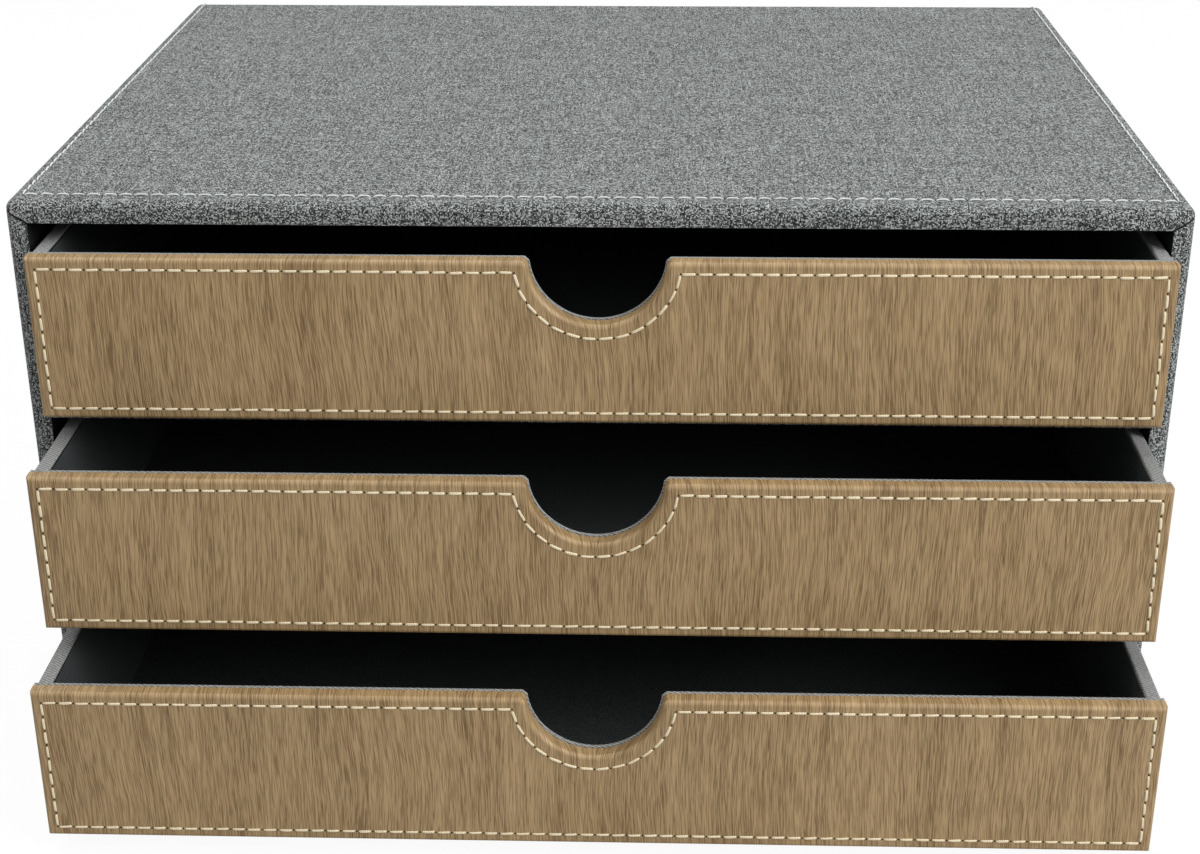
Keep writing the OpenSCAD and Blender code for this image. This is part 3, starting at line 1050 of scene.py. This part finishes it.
class Seam:
    """A row of stitches that is laid stitch by stitch along straight runs and arcs."""
    lean, lean_spread = 0.03, 0.022  # how far a stitch turns off its line, as a slope
    gap_range = (0.75, 1.35)         # how its needle hole's length varies
    width_range = (0.9, 1.12)        # how its width varies
    stray_across, stray_along = 0.05 * MM, 0.06 * MM

    def __init__(self, seed, gap, stitch, hole):
        self.bm = bmesh.new()
        self.dice = random.Random(seed)
        self.gap = gap
        self.stitch = as_mesh(stitch, "stitch_pattern")
        self.hole = as_mesh(hole, "hole_pattern")

    def add(self, pattern, placed, finish_index):
        """Adds one copy of a stitch or a hole, with a finish of its own."""
        verts, faces = len(self.bm.verts), len(self.bm.faces)
        self.bm.from_mesh(pattern)
        self.bm.verts.ensure_lookup_table()
        self.bm.faces.ensure_lookup_table()
        bmesh.ops.transform(self.bm, verts=self.bm.verts[verts:], matrix=placed)
        for face in self.bm.faces[faces:]:
            face.material_index = finish_index

    def lay(self, start, end, up):
        """One stitch between two needle holes, with its small irregularities."""
        dice = self.dice
        forward = (end - start).normalized()
        side = up.cross(forward)
        forward = (forward + side * (dice.gauss(0, self.lean_spread) + self.lean)).normalized()
        side = up.cross(forward)
        span = (end - start).length - self.gap * dice.uniform(*self.gap_range)
        middle = (start + end) / 2 + side * dice.gauss(0, self.stray_across) \
            + forward * dice.gauss(0, self.stray_along)
        across = side * dice.uniform(*self.width_range)
        axes = Matrix((forward * span, across, up)).transposed().to_4x4()
        self.add(self.stitch, Matrix.Translation(middle) @ axes, 0)
        upright = up.to_track_quat("Z", "Y").to_matrix().to_4x4()
        self.add(self.hole, Matrix.Translation(start) @ upright, 1)

    def run(self, corners, pitch, up):
        """Straight rows from corner to corner, in as many whole stitches as fit."""
        corners = [Vector(corner) for corner in corners]
        for start, end in zip(corners, corners[1:]):
            count = max(1, round((end - start).length / pitch))
            for i in range(count):
                self.lay(start.lerp(end, i / count), start.lerp(end, (i + 1) / count), up)

    def sweep(self, centre, radius, first, last, count, up):
        """A row along an arc in the XZ plane, between two angles from +X."""
        def at(i):
            turn = first + (last - first) * i / count
            return centre + radius * Vector((math.cos(turn), 0, math.sin(turn)))

        for i in range(count):
            self.lay(at(i), at(i + 1), up)

    def finish(self):
        """The whole row's shape, once its patterns are no longer needed."""
        for pattern in (self.stitch, self.hole):
            bpy.data.meshes.remove(pattern)
        return self.bm


class DESKORGANISER_OT_case_stitching(bpy.types.Operator):
    """Sew the arched stitches along the front and both sides of the case's top"""
    bl_idname = "deskorganiser.case_stitching"
    bl_label = "Case stitching"

    def execute(self, context):
        settings = context.scene.desk_stitches
        seam = Seam(settings.seed, settings.gap,
                    stitch_form(settings.case_thread / 2, settings.case_arch, flatten=0.9),
                    hole_form(radius=0.26 * MM))
        side = CASE_HIGH.x - settings.case_side_inset
        front = CASE_LOW.y + settings.case_front_inset
        rear_gap, lift = 1.2 * MM, 0.02 * MM
        back, z = CASE_HIGH.y - rear_gap, CASE_HIGH.z + lift
        seam.run([(-side, back, z), (-side, front, z), (side, front, z), (side, back, z)],
                 settings.case_pitch, UP)
        white = thread_finish("white_thread", settings.white)
        dress("case_topstitching", seam.finish(), [white, needle_hole_finish()], "case")
        return {"FINISHED"}


class DESKORGANISER_OT_front_stitching(bpy.types.Operator):
    """Sew the cream stitches round each drawer front and under its notch"""
    bl_idname = "deskorganiser.front_stitching"
    bl_label = "Front stitching"

    def execute(self, context):
        settings = context.scene.desk_stitches
        cream = thread_finish("cream_thread", settings.cream)
        dark = shared("needle_hole", needle_hole_finish)
        pitch, reach = settings.front_pitch, settings.front_notch_radius
        for number, drawer in enumerate(DRAWERS):
            _, low, high, half, middle = drawer_node(drawer, "front_cover")
            seam = Seam(settings.seed + number, settings.gap,
                        stitch_form(settings.front_thread / 2, arch=0.1 * MM, flatten=0.72),
                        hole_form(radius=0.33 * MM))
            side = half - settings.front_side_inset
            top = high.z - settings.front_top_inset
            bottom = low.z + settings.front_bottom_inset
            y = low.y
            centre = Vector((0, y, high.z + settings.front_notch_rise))
            dip = math.asin((centre.z - top) / reach)
            notch = reach * math.cos(dip)
            seam.run([(-side, y, bottom), (-side, y, top), (-notch, y, top)], pitch, FRONT)
            seam.sweep(centre, reach, math.pi + dip, math.tau - dip, NOTCH_STITCHES, FRONT)
            seam.run([(notch, y, top), (side, y, top), (side, y, bottom), (-side, y, bottom)],
                     pitch, FRONT)
            shift_across(seam.bm, middle)
            dress(f"{drawer}_front_stitching", seam.finish(), [cream, dark],
                  f"{drawer}_drawer")
        return {"FINISHED"}


# ---- the studio


class DESKORGANISER_OT_studio(bpy.types.Operator):
    """Set up the pale floor, the soft light and the camera"""
    bl_idname = "deskorganiser.studio"
    bl_label = "Studio"

    def execute(self, context):
        scene, settings = context.scene, context.scene.desk_studio
        self.floor(scene)
        self.sky(scene, settings)
        for setting, *lamp in LAMPS:
            self.lamp(scene, getattr(settings, setting), *lamp)
        self.camera(scene, settings)
        scene.view_settings.view_transform = "Standard"
        return {"FINISHED"}

    def floor(self, scene):
        bm = bmesh.new()
        bmesh.ops.create_grid(bm, x_segments=8, y_segments=8, size=FLOOR_REACH)
        mesh = as_mesh(bm, "floor")
        floor = bpy.data.objects.new("floor", mesh)
        scene.collection.objects.link(floor)
        finish = Finish("pale_floor", Base_Color=(FLOOR_GREY, FLOOR_GREY, FLOOR_GREY, 1),
                        Roughness=0.9)
        seen = Signal(finish, finish.node("LightPath").outputs["Is Camera Ray"])
        glow = finish.node("Emission", sockets={"Color": (1, 1, 1, 1), "Strength": FLOOR_GLOW})
        mixed = finish.node("MixShader", sockets={
            0: seen * FLOOR_WHITE, 1: finish.surface.outputs["BSDF"], 2: glow.outputs[0]})
        finish.tree.links.new(mixed.outputs[0], finish.output.inputs["Surface"])
        mesh.materials.append(finish.material)

    def sky(self, scene, settings):
        """Even light, which the camera and clear or glossy surfaces see as white."""
        scene.world = bpy.data.worlds.new("studio")
        shader = Shader(scene.world)
        path = shader.node("LightPath").outputs
        seen = path["Is Camera Ray"]
        for ray in ("Is Glossy Ray", "Is Transmission Ray"):
            seen = shader.maths("MAXIMUM", seen, path[ray])
        light = shader.node("Background", sockets={
            "Color": (1, 1, 1, 1), "Strength": seen * (1 - settings.sky) + settings.sky})
        shader.node("OutputWorld", sockets={"Surface": light.outputs[0]})

    def lamp(self, scene, energy, name, place, size):
        light = bpy.data.lights.new(name, "AREA")
        light.shape = "SQUARE"
        light.size = size
        light.energy = energy
        lamp = bpy.data.objects.new(name, light)
        lamp.location = place
        aim = Vector(LAMP_TARGET) - Vector(place)
        lamp.rotation_euler = aim.to_track_quat("-Z", "Y").to_euler()
        scene.collection.objects.link(lamp)

    def camera(self, scene, settings):
        lens = bpy.data.cameras.new("camera")
        lens.sensor_width = 36.0
        lens.lens = settings.focal_length
        lens.clip_start = 0.01
        camera = bpy.data.objects.new("camera", lens)
        camera.matrix_world = (
            Matrix.Translation(settings.camera_place)
            @ Matrix.Rotation(settings.camera_yaw, 4, "Z")
            @ Matrix.Rotation(math.pi / 2 - settings.camera_pitch, 4, "X")
            @ Matrix.Rotation(settings.camera_roll, 4, "Z"))
        scene.collection.objects.link(camera)
        scene.camera = camera


# ---- the add-on


OPERATORS = (
    DESKORGANISER_OT_case_covers,
    DESKORGANISER_OT_bays,
    DESKORGANISER_OT_case_boards,
    DESKORGANISER_OT_shelf_edgings,
    DESKORGANISER_OT_front_covers,
    DESKORGANISER_OT_front_linings,
    DESKORGANISER_OT_drawer_wraps,
    DESKORGANISER_OT_drawer_liners,
    DESKORGANISER_OT_case_stitching,
    DESKORGANISER_OT_front_stitching,
    DESKORGANISER_OT_studio,
)
SETTINGS = {
    "desk_case": CaseCoverSettings,
    "desk_stitches": StitchSettings,
    "desk_fronts": FrontSettings,
    "desk_drawers": DrawerSettings,
    "desk_studio": StudioSettings,
}


class DESKORGANISER_PT_sidebar(bpy.types.Panel):
    """Lists the organiser's pieces and their settings"""
    bl_idname = "DESKORGANISER_PT_sidebar"
    bl_label = "Desk Organiser"
    bl_space_type = "VIEW_3D"
    bl_region_type = "UI"
    bl_category = "Desk Organiser"

    def draw(self, context):
        for operator in OPERATORS:
            self.layout.operator(operator.bl_idname)
        for name, kind in SETTINGS.items():
            box = self.layout.box()
            for setting in kind.__annotations__:
                box.prop(getattr(context.scene, name), setting)


def register():
    for kind in (*SETTINGS.values(), *OPERATORS, DESKORGANISER_PT_sidebar):
        bpy.utils.register_class(kind)
    for name, kind in SETTINGS.items():
        setattr(bpy.types.Scene, name, PointerProperty(type=kind))


def unregister():
    for name in SETTINGS:
        delattr(bpy.types.Scene, name)
    for kind in (DESKORGANISER_PT_sidebar, *OPERATORS, *SETTINGS.values()):
        bpy.utils.unregister_class(kind)


def main():
    register()
    for operator in OPERATORS:
        group, name = operator.bl_idname.split(".")
        getattr(getattr(bpy.ops, group), name)()


if __name__ == "__main__":
    main()
